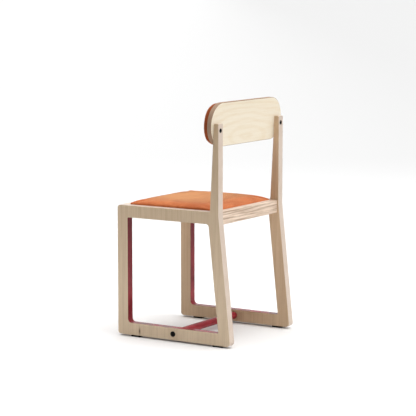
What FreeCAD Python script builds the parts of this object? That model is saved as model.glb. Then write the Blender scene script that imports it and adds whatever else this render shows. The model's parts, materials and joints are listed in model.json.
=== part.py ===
import FreeCAD, Part
import enum
import math
import os

import Sketcher

# Study chair: two plywood side frames joined by two seat rails and a round
# stretcher, an upholstered drop-in seat and a padded backrest panel.
# +Z is up, the sitter faces -Y and the left side is +X. The origin lies on
# the floor, in the middle of the side frames' depth and width.

# Driving dimensions in millimetres and degrees
SIZES = {
    # side frames, cut from one board each
    "overall_width": 412,
    "frame_depth": 435,
    "ply_thickness": 28,
    "seat_level": 438,
    "bottom_rail_height": 40.5,
    "top_rail_height": 40,
    "front_leg_width": 40,
    "rear_leg_width": 41,
    "bend_level": 425,
    "rear_leg_lean": 6.15,
    "post_base_width": 32,
    "post_tip_width": 17,
    "post_top": 721,
    "outer_corner_radius": 10,
    "rear_foot_radius": 14,
    "toe_inner_radius": 13,
    "heel_inner_radius": 3,
    "arm_inner_radius": 4,
    "knee_inner_radius": 10,
    "post_tip_radius": 3,
    "post_bend_radius": 80,
    "edge_round": 1,
    # seat rails and the dowels in their ends
    "rail_thickness": 25,
    "rail_height": 43,
    "rail_recess": 4.5,
    "rail_dowel_diameter": 8,
    "rail_dowel_in_frame": 13,
    "rail_dowel_in_rail": 23,
    "rail_dowel_spacing": 22,
    "rail_dowel_chamfer": 1,
    # corner blocks under the seat and their screws
    "block_leg": 66,
    "block_toe": 18,
    "block_height": 22,
    "block_screw_station": 55,
    "block_screw_grip": 12,
    "seat_screw_inset": 26,
    "screw_diameter": 4,
    "screw_head_diameter": 8,
    "screw_head_height": 2.4,
    "screw_rim": 0.6,
    "screw_tip": 3,
    "screw_in_frame": 16,
    "screw_in_board": 7,
    "screw_counterbore": 9,
    # drop-in seat
    "seat_drop": 20,
    "seat_fit": 0.5,
    "seat_corner_radius": 14,
    "seat_shoulder": 6,
    "seat_crown": 12,
    "seat_end_crown": 1,
    "seat_board_thickness": 10,
    "cover_thickness": 1.2,
    "cover_return": 15,
    "crown_overrun": 4,
    # round stretcher, its inserts and bolts
    "stretcher_diameter": 25,
    "stretcher_bolt_diameter": 8,
    "stretcher_bolt_head_diameter": 18,
    "stretcher_bolt_head_height": 2.5,
    "stretcher_bolt_reach": 15,
    "stretcher_bolt_socket": 5,
    "stretcher_insert_diameter": 12,
    "stretcher_insert_length": 18,
    # backrest panel, its inserts and bolts
    "panel_width": 445,
    "panel_height": 141,
    "panel_end_flat": 5,
    "panel_thickness": 15,
    "panel_rise": 64.5,
    "panel_edge_round": 1.5,
    "back_bolt_drop": 21,
    "back_bolt_diameter": 6,
    "back_bolt_head_diameter": 15,
    "back_bolt_head_height": 3,
    "back_bolt_sink": 3.5,
    "back_bolt_reach": 11,
    "back_bolt_socket": 4,
    "back_insert_diameter": 10,
    "back_insert_length": 13,
    "bolt_socket_depth": 3,
    "bolt_head_chamfer": 0.8,
    # backrest pad
    "pad_inset": 3,
    "pad_end_flat": 2,
    "pad_wall": 11,
    "pad_shoulder": 7,
    "pad_crown": 6,
    "pad_end_crown": 1,
    "pad_board_thickness": 4,
    # glides under the bottom rails
    "glide_height": 6,
    "glide_length": 35,
    "glide_width": 24,
    "glide_corner_radius": 4,
    "glide_rim_round": 1,
    "glide_front_inset": 66.5,
    "glide_rear_inset": 51.5,
    "glide_screw_length": 18,
    "glide_screw_sink": 0.8,
    # clearances between pieces that fit in each other
    "hole_clearance": 0.1,
    "soft_clearance": 0.25,
}

doc = FreeCAD.newDocument("StudyChair")
dims = doc.addObject("Spreadsheet::Sheet", "Dims")
for row, (alias, value) in enumerate(SIZES.items(), start=1):
    dims.set(f"A{row}", str(value))
    dims.setAlias(f"A{row}", alias)
doc.recompute()

# Places that several pieces share, as expressions on the sheet
HALF_INNER = "(Dims.overall_width / 2 - Dims.ply_thickness)"
HALF_OUTER = "(Dims.overall_width / 2)"
FRAME_MIDDLE = "(Dims.overall_width / 2 - Dims.ply_thickness / 2)"
FRONT_EDGE = "(-Dims.frame_depth / 2)"
LEG_LEAN = "(Dims.rear_leg_lean * 1 deg)"
FOOT_ROUNDING = f"(Dims.rear_foot_radius * (tan({LEG_LEAN}) + 1 / cos({LEG_LEAN}) - 1))"
REAR_EDGE = f"(Dims.frame_depth / 2 + {FOOT_ROUNDING})"
POST_EDGE = f"({REAR_EDGE} - (Dims.bend_level - Dims.glide_height) * tan({LEG_LEAN}))"
BOTTOM_RAIL_TOP = "(Dims.glide_height + Dims.bottom_rail_height)"
BOTTOM_RAIL_MIDDLE = "(Dims.glide_height + Dims.bottom_rail_height / 2)"
TOP_RAIL_UNDERSIDE = "(Dims.seat_level - Dims.top_rail_height)"
POST_TAPER = "((Dims.post_base_width - Dims.post_tip_width) / (Dims.post_top - Dims.seat_level))"
PANEL_TILT = f"atan({POST_TAPER})"
RAIL_MIDDLE = "(Dims.seat_level - Dims.rail_height / 2)"
FRONT_RAIL_FACE = f"({FRONT_EDGE} + Dims.rail_recess + Dims.rail_thickness)"
REAR_RAIL_FACE = f"({POST_EDGE} - Dims.rail_recess - Dims.rail_thickness)"
FRONT_RAIL_CENTRE = f"({FRONT_RAIL_FACE} - Dims.rail_thickness / 2)"
REAR_RAIL_CENTRE = f"({REAR_RAIL_FACE} + Dims.rail_thickness / 2)"
DOWEL_LEVELS = [f"({RAIL_MIDDLE} + {sign} * Dims.rail_dowel_spacing / 2)" for sign in (-1, 1)]
SEAT_BOTTOM = "(Dims.seat_level - Dims.seat_drop)"
BLOCK_BOTTOM = f"({SEAT_BOTTOM} - Dims.block_height)"
BLOCK_MIDDLE = f"({SEAT_BOTTOM} - Dims.block_height / 2)"
SEAT_MIDDLE = f"(({FRONT_RAIL_FACE} + {REAR_RAIL_FACE}) / 2)"
SEAT_HALF_WIDTH = f"({HALF_INNER} - Dims.seat_fit)"
SEAT_HALF_DEPTH = f"(({REAR_RAIL_FACE} - {FRONT_RAIL_FACE}) / 2 - Dims.seat_fit)"
SCREW_HOLE = "(Dims.screw_diameter + 2 * Dims.hole_clearance)"
DOWEL_HOLE = "(Dims.rail_dowel_diameter + 2 * Dims.hole_clearance)"
PANEL_CENTRE = "(Dims.post_top + Dims.panel_rise - Dims.panel_height / 2)"
PANEL_RADIUS = "((Dims.panel_height - Dims.panel_end_flat) / 2)"
PAD_HALF_HEIGHT = "(Dims.panel_height / 2 - Dims.pad_inset)"
BACK_BOLT_LEVEL = "(Dims.post_top - Dims.back_bolt_drop)"
POST_WIDTH_AT_BOLT = f"(Dims.post_tip_width + Dims.back_bolt_drop * {POST_TAPER})"
BACK_BOLT_GRIP = f"({POST_WIDTH_AT_BOLT} / cos({PANEL_TILT}) - Dims.back_bolt_sink)"

SIDES = {"left": 1, "right": -1}
ENDS = {"front": -1, "rear": 1}
PLANE_OF_AXIS = {"X": "YZ_Plane", "Y": "XZ_Plane", "Z": "XY_Plane"}
ORIGIN = (-1, 1)
TOLERANCE = 1e-4
NEARNESS = 0.01

sub_parts = []


class Spot(enum.IntEnum):
    """Points of a sketched line or arc."""

    START = enum.auto()
    END = enum.auto()
    CENTRE = enum.auto()


def number(expression):
    """Value of an expression on the sheet."""
    result = dims.evalExpression(str(expression))
    return float(getattr(result, "Value", result))


def new_body(label, keep=True):
    """Empty body; a kept one is a sub-part with a file of its own."""
    body = doc.addObject("PartDesign::Body", label)
    body.Label = label
    if keep:
        sub_parts.append(body)
    return body


def place(piece, x="0", y="0", z="0", axis=None, angle=None):
    """Bind the place of a piece, and a turn about one axis, to the sheet."""
    if axis is not None:
        piece.Placement.Rotation = FreeCAD.Rotation(FreeCAD.Vector(*axis), number(angle))
        piece.setExpression("Placement.Rotation.Angle", str(angle))
    piece.setExpression("Placement.Base.x", str(x))
    piece.setExpression("Placement.Base.y", str(y))
    piece.setExpression("Placement.Base.z", str(z))


def new_sketch(body, name, axis, at="0"):
    """Sketch square to an axis of the body, at a distance along that axis."""
    sketch = body.newObject("Sketcher::SketchObject", name)
    role = PLANE_OF_AXIS[axis]
    plane = next(item for item in body.Origin.OriginFeatures if item.Role == role)
    sketch.AttachmentSupport = [(plane, "")]
    sketch.MapMode = "FlatFace"
    along_normal = f"-({at})" if axis == "Y" else str(at)
    sketch.setExpression("AttachmentOffset.Base.z", along_normal)
    return sketch


def bind(sketch, constraint, expression):
    """Add a dimension to a sketch and tie it to the sheet."""
    index = sketch.addConstraint(constraint)
    sketch.setExpression(f"Constraints[{index}]", str(expression))


def pin_point(sketch, geometry, position, x, y):
    """Hold a point of the sketch at two expressions."""
    for distance, level, value in (("DistanceX", "Vertical", x), ("DistanceY", "Horizontal", y)):
        if str(value) == "0":
            sketch.addConstraint(Sketcher.Constraint(level, *ORIGIN, geometry, position))
        else:
            bind(sketch, Sketcher.Constraint(distance, *ORIGIN, geometry, position, number(value)), value)


def polygon(sketch, points):
    """Closed outline with straight sides through points given as expressions."""
    corners = [FreeCAD.Vector(number(x), number(y), 0) for x, y in points]
    lines = []
    for corner, following in zip(corners, corners[1:] + corners[:1]):
        lines.append(sketch.addGeometry(Part.LineSegment(corner, following), False))
    for line, following in zip(lines, lines[1:] + lines[:1]):
        sketch.addConstraint(Sketcher.Constraint("Coincident", line, Spot.END, following, Spot.START))
    for line, (x, y) in zip(lines, points):
        pin_point(sketch, line, Spot.START, x, y)


def circles(sketch, points, diameter):
    """One circle of the same diameter at each point."""
    for x, y in points:
        middle = FreeCAD.Vector(number(x), number(y), 0)
        ring = Part.Circle(middle, FreeCAD.Vector(0, 0, 1), number(diameter) / 2)
        geometry = sketch.addGeometry(ring, False)
        bind(sketch, Sketcher.Constraint("Diameter", geometry, number(diameter)), diameter)
        pin_point(sketch, geometry, Spot.CENTRE, x, y)


def rounded_rectangle(sketch, width, height, radius):
    """Rectangle about the sketch's origin with four equal round corners."""
    half_x, half_y, bend = number(width) / 2, number(height) / 2, number(radius)
    turns = [(1, -1, -90), (1, 1, 0), (-1, 1, 90), (-1, -1, 180)]
    normal = FreeCAD.Vector(0, 0, 1)
    arcs = []
    for side_x, side_y, first in turns:
        middle = FreeCAD.Vector(side_x * (half_x - bend), side_y * (half_y - bend), 0)
        ring = Part.Circle(middle, normal, bend)
        arc = Part.ArcOfCircle(ring, math.radians(first), math.radians(first + 90))
        arcs.append(sketch.addGeometry(arc, False))
    lines = []
    for arc, following in zip(arcs, arcs[1:] + arcs[:1]):
        start = sketch.Geometry[arc].EndPoint
        finish = sketch.Geometry[following].StartPoint
        lines.append(sketch.addGeometry(Part.LineSegment(start, finish), False))
    for arc, line, following in zip(arcs, lines, arcs[1:] + arcs[:1]):
        sketch.addConstraint(Sketcher.Constraint("Tangent", arc, Spot.END, line, Spot.START))
        sketch.addConstraint(Sketcher.Constraint("Tangent", line, Spot.END, following, Spot.START))
    for arc in arcs[1:]:
        sketch.addConstraint(Sketcher.Constraint("Equal", arcs[0], arc))
    right, top, left, bottom = lines
    sketch.addConstraint(Sketcher.Constraint("Vertical", right))
    sketch.addConstraint(Sketcher.Constraint("Horizontal", top))
    sketch.addConstraint(Sketcher.Constraint("Symmetric", right, Spot.START, left, Spot.START, *ORIGIN))
    bind(sketch, Sketcher.Constraint("Radius", arcs[0], bend), radius)
    bind(sketch, Sketcher.Constraint("DistanceX", left, Spot.END, right, Spot.START, 2 * half_x), width)
    bind(sketch, Sketcher.Constraint("DistanceY", bottom, Spot.START, top, Spot.START, 2 * half_y), height)


def hexagon(sketch, across_flats):
    """Regular hexagon about the sketch's origin."""
    reach = f"({across_flats} / sqrt(3))"
    half = f"({across_flats} / 2)"
    step = f"({reach} / 2)"
    polygon(sketch, [(reach, "0"), (step, half), (f"-{step}", half),
                     (f"-{reach}", "0"), (f"-{step}", f"-{half}"), (step, f"-{half}")])


def pad(body, sketch, length, backwards=False, both_ways=False):
    """Pad a sketch along its normal, against it, or half each way."""
    feature = body.newObject("PartDesign::Pad", f"{sketch.Name}_pad")
    feature.Profile = sketch
    feature.setExpression("Length", str(length))
    feature.Reversed = backwards
    feature.Midplane = both_ways
    doc.recompute()


def cut(body, sketch, axis, toward, depth):
    """Pocket a sketch along its axis, towards plus or minus."""
    before = body.Shape.Volume
    feature = body.newObject("PartDesign::Pocket", f"{sketch.Name}_pocket")
    feature.Profile = sketch
    feature.setExpression("Length", str(depth))
    feature.Reversed = (toward < 0) if axis == "Y" else (toward > 0)
    doc.recompute()
    if body.Shape.Volume >= before - TOLERANCE:
        raise RuntimeError(f"{feature.Name} of {body.Label} cuts nothing")


def drill(body, name, axis, at, toward, points, diameter, depth):
    """Round holes along an axis, from the plane at the given distance."""
    sketch = new_sketch(body, name, axis, at)
    circles(sketch, points, diameter)
    cut(body, sketch, axis, toward, depth)


def countersink(body, name, sink):
    """Cone for a screw head about the body's Z axis, sunk a little from below."""
    before = body.Shape.Volume
    head = "(Dims.screw_head_diameter / 2 + Dims.hole_clearance)"
    rim = f"({sink} + Dims.screw_rim)"
    flare = "((Dims.screw_head_diameter - Dims.screw_diameter) / 2)"
    steepness = f"((Dims.screw_head_height - Dims.screw_rim) / {flare})"
    sketch = new_sketch(body, name, "Y")
    polygon(sketch, [("0", "0"), (head, "0"), (head, rim), ("0", f"{rim} + {head} * {steepness}")])
    feature = body.newObject("PartDesign::Groove", f"{name}_cone")
    feature.Profile = sketch
    feature.ReferenceAxis = (sketch, ["V_Axis"])
    feature.Angle = 360
    doc.recompute()
    if body.Shape.Volume >= before - TOLERANCE:
        raise RuntimeError(f"{feature.Name} of {body.Label} cuts nothing")


def round_edges(body, name, chosen, radius):
    """Fillet the edges of the body that a test picks out."""
    base = body.Tip
    edges = [f"Edge{index}" for index, edge in enumerate(base.Shape.Edges, start=1) if chosen(edge)]
    if not edges:
        raise RuntimeError(f"{name} of {body.Label} finds no edge")
    feature = body.newObject("PartDesign::Fillet", name)
    feature.Base = (base, edges)
    feature.setExpression("Radius", str(radius))
    doc.recompute()


def runs_along(edge, axis):
    """True for a straight edge along X, Y or Z."""
    if not isinstance(edge.Curve, Part.Line):
        return False
    return abs(abs(edge.Curve.Direction["XYZ".index(axis)]) - 1) < TOLERANCE


def stands_at(edge, y, z):
    """True for an edge along X that passes through y and z."""
    if not runs_along(edge, "X"):
        return False
    start = edge.Vertexes[0].Point
    return abs(start.y - number(y)) < NEARNESS and abs(start.z - number(z)) < NEARNESS


def lies_flat(edge, axis, level):
    """True for an edge that lies wholly at one level of an axis."""
    box = edge.BoundBox
    low = getattr(box, f"{axis}Min")
    high = getattr(box, f"{axis}Max")
    return abs(low - level) < NEARNESS and abs(high - level) < NEARNESS


def turned(label, profile, keep=False):
    """Body turned about its Z axis from a half profile of radius and height."""
    body = new_body(label, keep)
    sketch = new_sketch(body, f"{label}_profile", "Y")
    polygon(sketch, profile)
    feature = body.newObject("PartDesign::Revolution", f"{label}_turn")
    feature.Profile = sketch
    feature.ReferenceAxis = (sketch, ["V_Axis"])
    feature.Angle = 360
    doc.recompute()
    return body


def group(label, bodies):
    """Identical fasteners as one sub-part of separate solids."""
    bundle = doc.addObject("Part::Compound", label)
    bundle.Label = label
    bundle.Links = bodies
    sub_parts.append(bundle)


def point_along(body, x, y, z, direction):
    """Turn a body's +Z towards a direction word and set it at a point."""
    turns = {
        "+X": ((0, 1, 0), 90),
        "-X": ((0, -1, 0), 90),
        "+Y": ((-1, 0, 0), 90),
        "-Y": ((1, 0, 0), 90),
        "+Z": ((1, 0, 0), 0),
    }
    axis, angle = turns[direction]
    place(body, x, y, z, axis, angle)


def lay_on_back(piece):
    """Set a piece in the backrest's frame: Z square to the panel, rear face at 0."""
    y = f"{POST_EDGE} - Dims.post_base_width + ({PANEL_CENTRE} - Dims.seat_level) * {POST_TAPER}"
    place(piece, "0", y, PANEL_CENTRE, (1, 0, 0), f"90 deg - {PANEL_TILT}")


def rear_edge_at(level):
    """Rear edge of the slanted rear leg at a level."""
    return f"({REAR_EDGE} - ({level} - Dims.glide_height) * tan({LEG_LEAN}))"


def wood_screw(label, length):
    """Countersunk screw, head face at 0 and tip towards +Z."""
    radius = "Dims.screw_diameter / 2"
    head = "Dims.screw_head_diameter / 2"
    return turned(label, [
        ("0", "0"),
        (head, "0"),
        (head, "Dims.screw_rim"),
        (radius, "Dims.screw_head_height"),
        (radius, f"{length} - Dims.screw_tip"),
        ("0", length),
    ])


def socket_bolt(label, size, length):
    """Flat-head bolt with a hexagon socket, underside of the head at 0, tip towards +Z."""
    radius = f"Dims.{size}_diameter / 2"
    head = f"Dims.{size}_head_diameter / 2"
    height = f"Dims.{size}_head_height"
    chamfer = "Dims.bolt_head_chamfer"
    body = turned(label, [
        ("0", f"-{height}"),
        (f"{head} - {chamfer}", f"-{height}"),
        (head, f"-{height} + {chamfer}"),
        (head, "0"),
        (radius, "0"),
        (radius, f"{length} - {chamfer}"),
        (f"{radius} - {chamfer}", length),
        ("0", length),
    ])
    sketch = new_sketch(body, f"{label}_socket", "Z", f"-{height}")
    hexagon(sketch, f"Dims.{size}_socket")
    cut(body, sketch, "Z", 1, "Dims.bolt_socket_depth")
    return body


def threaded_insert(label, outer, bore, length):
    """Metal sleeve along +Z from 0."""
    hole = f"({bore} / 2 + Dims.hole_clearance)"
    return turned(label, [
        (hole, "0"),
        (f"{outer} / 2", "0"),
        (f"{outer} / 2", length),
        (hole, length),
    ])


def side_frame(side_name):
    """Leg loop and back post in one board, its inner face at the body's YZ plane."""
    side = SIDES[side_name]
    body = new_body(f"{side_name}_side_frame")
    place(body, f"{side} * {HALF_INNER}")

    toe = (f"{FRONT_EDGE} + Dims.front_leg_width", BOTTOM_RAIL_TOP)
    heel = (f"{rear_edge_at(BOTTOM_RAIL_TOP)} - Dims.rear_leg_width", BOTTOM_RAIL_TOP)
    knee = (f"{rear_edge_at(TOP_RAIL_UNDERSIDE)} - Dims.rear_leg_width", TOP_RAIL_UNDERSIDE)
    arm = (f"{FRONT_EDGE} + Dims.front_leg_width", TOP_RAIL_UNDERSIDE)
    front_foot = (FRONT_EDGE, "Dims.glide_height")
    rear_foot = (REAR_EDGE, "Dims.glide_height")
    bend = (POST_EDGE, "Dims.bend_level")
    tip_rear = (POST_EDGE, "Dims.post_top")
    tip_front = (f"{POST_EDGE} - Dims.post_tip_width", "Dims.post_top")
    post_root = (f"{POST_EDGE} - Dims.post_base_width", "Dims.seat_level")
    front_top = (FRONT_EDGE, "Dims.seat_level")

    outline = new_sketch(body, f"{side_name}_frame_outline", "X")
    polygon(outline, [front_foot, rear_foot, bend, tip_rear, tip_front, post_root, front_top])
    polygon(outline, [toe, heel, knee, arm])
    pad(body, outline, "Dims.ply_thickness", backwards=side < 0)

    corner_rounds = {
        "outer": ([front_foot, front_top], "Dims.outer_corner_radius"),
        "foot": ([rear_foot], "Dims.rear_foot_radius"),
        "toe": ([toe], "Dims.toe_inner_radius"),
        "heel": ([heel], "Dims.heel_inner_radius"),
        "arm": ([arm], "Dims.arm_inner_radius"),
        "knee": ([knee], "Dims.knee_inner_radius"),
        "tip": ([tip_rear, tip_front], "Dims.post_tip_radius"),
        "bend": ([bend], "Dims.post_bend_radius"),
    }
    for corner, (places, radius) in corner_rounds.items():
        def at_corner(edge):
            return any(stands_at(edge, y, z) for y, z in places)
        round_edges(body, f"{side_name}_frame_{corner}", at_corner, radius)

    inner_face = 0
    outer_face = side * number("Dims.ply_thickness")
    def on_a_face(edge):
        return lies_flat(edge, "X", inner_face) or lies_flat(edge, "X", outer_face)
    round_edges(body, f"{side_name}_frame_ease", on_a_face, "Dims.edge_round")

    # dowel holes for the seat rails
    for rail_centre in (FRONT_RAIL_CENTRE, REAR_RAIL_CENTRE):
        points = [(rail_centre, level) for level in DOWEL_LEVELS]
        drill(body, f"{side_name}_dowel_holes", "X", "0", side, points, DOWEL_HOLE,
              "Dims.rail_dowel_in_frame")

    # pilot holes for the corner blocks
    points = [
        (f"{FRONT_RAIL_FACE} + Dims.block_screw_station", BLOCK_MIDDLE),
        (f"{REAR_RAIL_FACE} - Dims.block_screw_station", BLOCK_MIDDLE),
    ]
    drill(body, f"{side_name}_block_pilots", "X", "0", side, points, SCREW_HOLE, "Dims.screw_in_frame")

    # bolt hole for the stretcher
    bolt_hole = "(Dims.stretcher_bolt_diameter + 2 * Dims.hole_clearance)"
    points = [("0", BOTTOM_RAIL_MIDDLE)]
    drill(body, f"{side_name}_stretcher_hole", "X", "0", side, points, bolt_hole, "Dims.ply_thickness")

    # pilot holes for the glide screws
    middle = f"{side} * Dims.ply_thickness / 2"
    points = [
        (middle, f"{FRONT_EDGE} + Dims.glide_front_inset"),
        (middle, "Dims.frame_depth / 2 - Dims.glide_rear_inset"),
    ]
    depth = "Dims.glide_screw_length + Dims.glide_screw_sink - Dims.glide_height"
    drill(body, f"{side_name}_glide_pilots", "Z", "Dims.glide_height", 1, points, SCREW_HOLE, depth)

    # counterbored hole through the post, square to the backrest panel
    bores = {
        "bolt": ("0", "Dims.back_bolt_diameter / 2 + Dims.hole_clearance", "2 * Dims.post_base_width"),
        "head": (BACK_BOLT_GRIP, "Dims.back_bolt_head_diameter / 2 + 2 * Dims.hole_clearance",
                 "Dims.post_base_width"),
    }
    for bore, (start, radius, length) in bores.items():
        hole = body.newObject("PartDesign::SubtractiveCylinder", f"{side_name}_post_{bore}_bore")
        plane = next(item for item in body.Origin.OriginFeatures if item.Role == "XY_Plane")
        hole.AttachmentSupport = [(plane, "")]
        hole.MapMode = "FlatFace"
        turn = FreeCAD.Rotation(FreeCAD.Vector(-1, 0, 0), number(f"90 deg + {PANEL_TILT}"))
        hole.AttachmentOffset = FreeCAD.Placement(FreeCAD.Vector(), turn)
        hole.setExpression("AttachmentOffset.Rotation.Angle", f"90 deg + {PANEL_TILT}")
        hole.setExpression("AttachmentOffset.Base.x", middle)
        front = f"{POST_EDGE} - {POST_WIDTH_AT_BOLT}"
        hole.setExpression("AttachmentOffset.Base.y", f"{front} + {start} * cos({PANEL_TILT})")
        hole.setExpression("AttachmentOffset.Base.z", f"{BACK_BOLT_LEVEL} - {start} * sin({PANEL_TILT})")
        hole.setExpression("Radius", radius)
        hole.setExpression("Height", length)
        doc.recompute()


def seat_rail(end_name):
    """Rail across the chair, doweled to the side frames."""
    end = ENDS[end_name]
    inner_face = FRONT_RAIL_FACE if end < 0 else REAR_RAIL_FACE
    outer_face = f"({inner_face} + {end} * Dims.rail_thickness)"
    underside = "Dims.seat_level - Dims.rail_height"
    body = new_body(f"{end_name}_seat_rail")
    place(body)

    section = new_sketch(body, f"{end_name}_rail_section", "X")
    polygon(section, [(inner_face, underside), (outer_face, underside),
                      (outer_face, "Dims.seat_level"), (inner_face, "Dims.seat_level")])
    pad(body, section, f"2 * {HALF_INNER}", both_ways=True)
    round_edges(body, f"{end_name}_rail_ease", lambda edge: runs_along(edge, "X"), "Dims.edge_round")

    centre = FRONT_RAIL_CENTRE if end < 0 else REAR_RAIL_CENTRE
    points = [(centre, level) for level in DOWEL_LEVELS]
    for side_name, side in SIDES.items():
        drill(body, f"{end_name}_rail_{side_name}_holes", "X", f"{side} * {HALF_INNER}", -side, points,
              DOWEL_HOLE, "Dims.rail_dowel_in_rail")

    station = f"({HALF_INNER} - Dims.block_screw_station)"
    points = [(f"{side} * {station}", BLOCK_MIDDLE) for side in SIDES.values()]
    drill(body, f"{end_name}_rail_pilots", "Y", inner_face, end, points, SCREW_HOLE, "Dims.screw_in_frame")

    dowel_radius = "Dims.rail_dowel_diameter / 2"
    chamfer = "Dims.rail_dowel_chamfer"
    length = "(Dims.rail_dowel_in_frame + Dims.rail_dowel_in_rail)"
    dowels = []
    for side_name, side in SIDES.items():
        for level in DOWEL_LEVELS:
            dowel = turned(f"{end_name}_{side_name}_dowel", [
                ("0", "0"),
                (f"{dowel_radius} - {chamfer}", "0"),
                (dowel_radius, chamfer),
                (dowel_radius, f"{length} - {chamfer}"),
                (f"{dowel_radius} - {chamfer}", length),
                ("0", length),
            ])
            start = f"{side} * ({HALF_INNER} - Dims.rail_dowel_in_rail)"
            point_along(dowel, start, centre, level, "+X" if side > 0 else "-X")
            dowels.append(dowel)
    group(f"{end_name}_rail_dowels", dowels)


def corner_blocks():
    """Glued and screwed blocks in the seat's corners, with their screws."""
    block_screws = []
    seat_screws = []
    leg, toe = "Dims.block_leg", "Dims.block_toe"
    station, inset = "Dims.block_screw_station", "Dims.seat_screw_inset"
    grip = "Dims.block_screw_grip"
    middle = "Dims.block_height / 2"
    for end_name, end in ENDS.items():
        rail_face = FRONT_RAIL_FACE if end < 0 else REAR_RAIL_FACE
        for side_name, side in SIDES.items():
            name = f"{end_name}_{side_name}"
            corner_x = f"{side} * {HALF_INNER}"
            body = new_body(f"{name}_corner_block")
            place(body, corner_x, rail_face, BLOCK_BOTTOM)

            plan = new_sketch(body, f"{name}_block_plan", "Z")
            polygon(plan, [("0", "0"), (f"{-side} * {leg}", "0"), (f"{-side} * {leg}", f"{-end} * {toe}"),
                           (f"{-side} * {toe}", f"{-end} * {leg}"), ("0", f"{-end} * {leg}")])
            pad(body, plan, "Dims.block_height")

            # holes into the side frame and the rail, with room for the heads
            at_frame = [(f"{-end} * {station}", middle)]
            at_rail = [(f"{-side} * {station}", middle)]
            drill(body, f"{name}_frame_hole", "X", "0", -side, at_frame, SCREW_HOLE, leg)
            drill(body, f"{name}_frame_head", "X", f"{-side} * {grip}", -side, at_frame,
                  "Dims.screw_counterbore", leg)
            drill(body, f"{name}_rail_hole", "Y", "0", -end, at_rail, SCREW_HOLE, leg)
            drill(body, f"{name}_rail_head", "Y", f"{-end} * {grip}", -end, at_rail,
                  "Dims.screw_counterbore", leg)

            # hole and head room for the screw that holds the seat
            at_seat = [(f"{-side} * {inset}", f"{-end} * {inset}")]
            drill(body, f"{name}_seat_hole", "Z", "0", 1, at_seat, SCREW_HOLE, "Dims.block_height")
            drill(body, f"{name}_seat_head", "Z", "0", 1, at_seat, "Dims.screw_counterbore",
                  "Dims.block_height - Dims.block_screw_grip")

            head_room = f"({grip} + Dims.screw_head_height)"
            length = f"({head_room} + Dims.screw_in_frame - 2 * Dims.hole_clearance)"
            into_frame = wood_screw(f"{name}_frame_screw", length)
            point_along(into_frame, f"{corner_x} - {side} * {head_room}",
                        f"{rail_face} - {end} * {station}", BLOCK_MIDDLE, "+X" if side > 0 else "-X")
            into_rail = wood_screw(f"{name}_rail_screw", length)
            point_along(into_rail, f"{corner_x} - {side} * {station}",
                        f"{rail_face} - {end} * {head_room}", BLOCK_MIDDLE, "+Y" if end > 0 else "-Y")
            block_screws += [into_frame, into_rail]

            length = f"({head_room} + Dims.cover_thickness + Dims.screw_in_board - 2 * Dims.hole_clearance)"
            into_seat = wood_screw(f"{name}_seat_screw", length)
            point_along(into_seat, f"{corner_x} - {side} * {inset}", f"{rail_face} - {end} * {inset}",
                        f"{SEAT_BOTTOM} - {head_room}", "+Z")
            seat_screws.append(into_seat)
    group("corner_block_screws", block_screws)
    group("seat_fixing_screws", seat_screws)


def arched_section(sketch, half_width, rim, rise, top):
    """Outline of what is cut away over a cushion: an arch below, a flat top above."""
    left = FreeCAD.Vector(-number(half_width), number(rim), 0)
    crown = FreeCAD.Vector(0, number(rim) + number(rise), 0)
    right = FreeCAD.Vector(number(half_width), number(rim), 0)
    upper_right = FreeCAD.Vector(right.x, number(top), 0)
    upper_left = FreeCAD.Vector(left.x, number(top), 0)
    arch = sketch.addGeometry(Part.Arc(left, crown, right), False)
    wall_right = sketch.addGeometry(Part.LineSegment(right, upper_right), False)
    lid = sketch.addGeometry(Part.LineSegment(upper_right, upper_left), False)
    wall_left = sketch.addGeometry(Part.LineSegment(upper_left, left), False)
    # the arch runs counter-clockwise, from its right end to its left end
    for first, first_end, second, second_end in (
        (arch, Spot.START, wall_right, Spot.START),
        (wall_right, Spot.END, lid, Spot.START),
        (lid, Spot.END, wall_left, Spot.START),
        (wall_left, Spot.END, arch, Spot.END),
    ):
        sketch.addConstraint(Sketcher.Constraint("Coincident", first, first_end, second, second_end))
    pin_point(sketch, arch, Spot.START, half_width, rim)
    pin_point(sketch, arch, Spot.END, f"-({half_width})", rim)
    pin_point(sketch, lid, Spot.START, half_width, top)
    pin_point(sketch, lid, Spot.END, f"-({half_width})", top)
    radius = f"(({half_width})^2 + ({rise})^2) / (2 * ({rise}))"
    bind(sketch, Sketcher.Constraint("Radius", arch, number(radius)), radius)


def crowned_block(body, name, form, base, shrink):
    """Cushion shape: straight walls, a crown lofted over arches and a rounded shoulder."""
    half_x = f"({form['half_width']} - {shrink})"
    half_y = f"({form['half_depth']} - {shrink})"
    rim = f"({form['edge']} + {form['shoulder']} - {shrink})"
    top = f"({rim} + {form['crown']} + Dims.crown_overrun)"

    plan = new_sketch(body, f"{name}_plan", "Z", base)
    rounded_rectangle(plan, f"2 * {half_x}", f"2 * {half_y}", f"{form['radius']} - {shrink}")
    pad(body, plan, f"{rim} + {form['crown']} - ({base})")

    arches = []
    for station, rise in ((-1, form["end_crown"]), (0, form["crown"]), (1, form["end_crown"])):
        along = f"{station} * ({half_y} + Dims.crown_overrun)"
        arch = new_sketch(body, f"{name}_arch", "Y", along)
        arched_section(arch, f"({half_x} + Dims.crown_overrun)", rim, rise, top)
        arches.append(arch)
    doc.recompute()
    loft = body.newObject("PartDesign::SubtractiveLoft", f"{name}_crown")
    loft.Profile = arches[0]
    loft.Sections = arches[1:]
    doc.recompute()

    crown_faces = [face for face in body.Tip.Shape.Faces if isinstance(face.Surface, Part.BSplineSurface)]
    rim_edges = [edge for face in crown_faces for edge in face.Edges]
    round_edges(body, f"{name}_shoulder", lambda edge: any(edge.isSame(other) for other in rim_edges),
                f"{form['shoulder']} - {shrink}")


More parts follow.
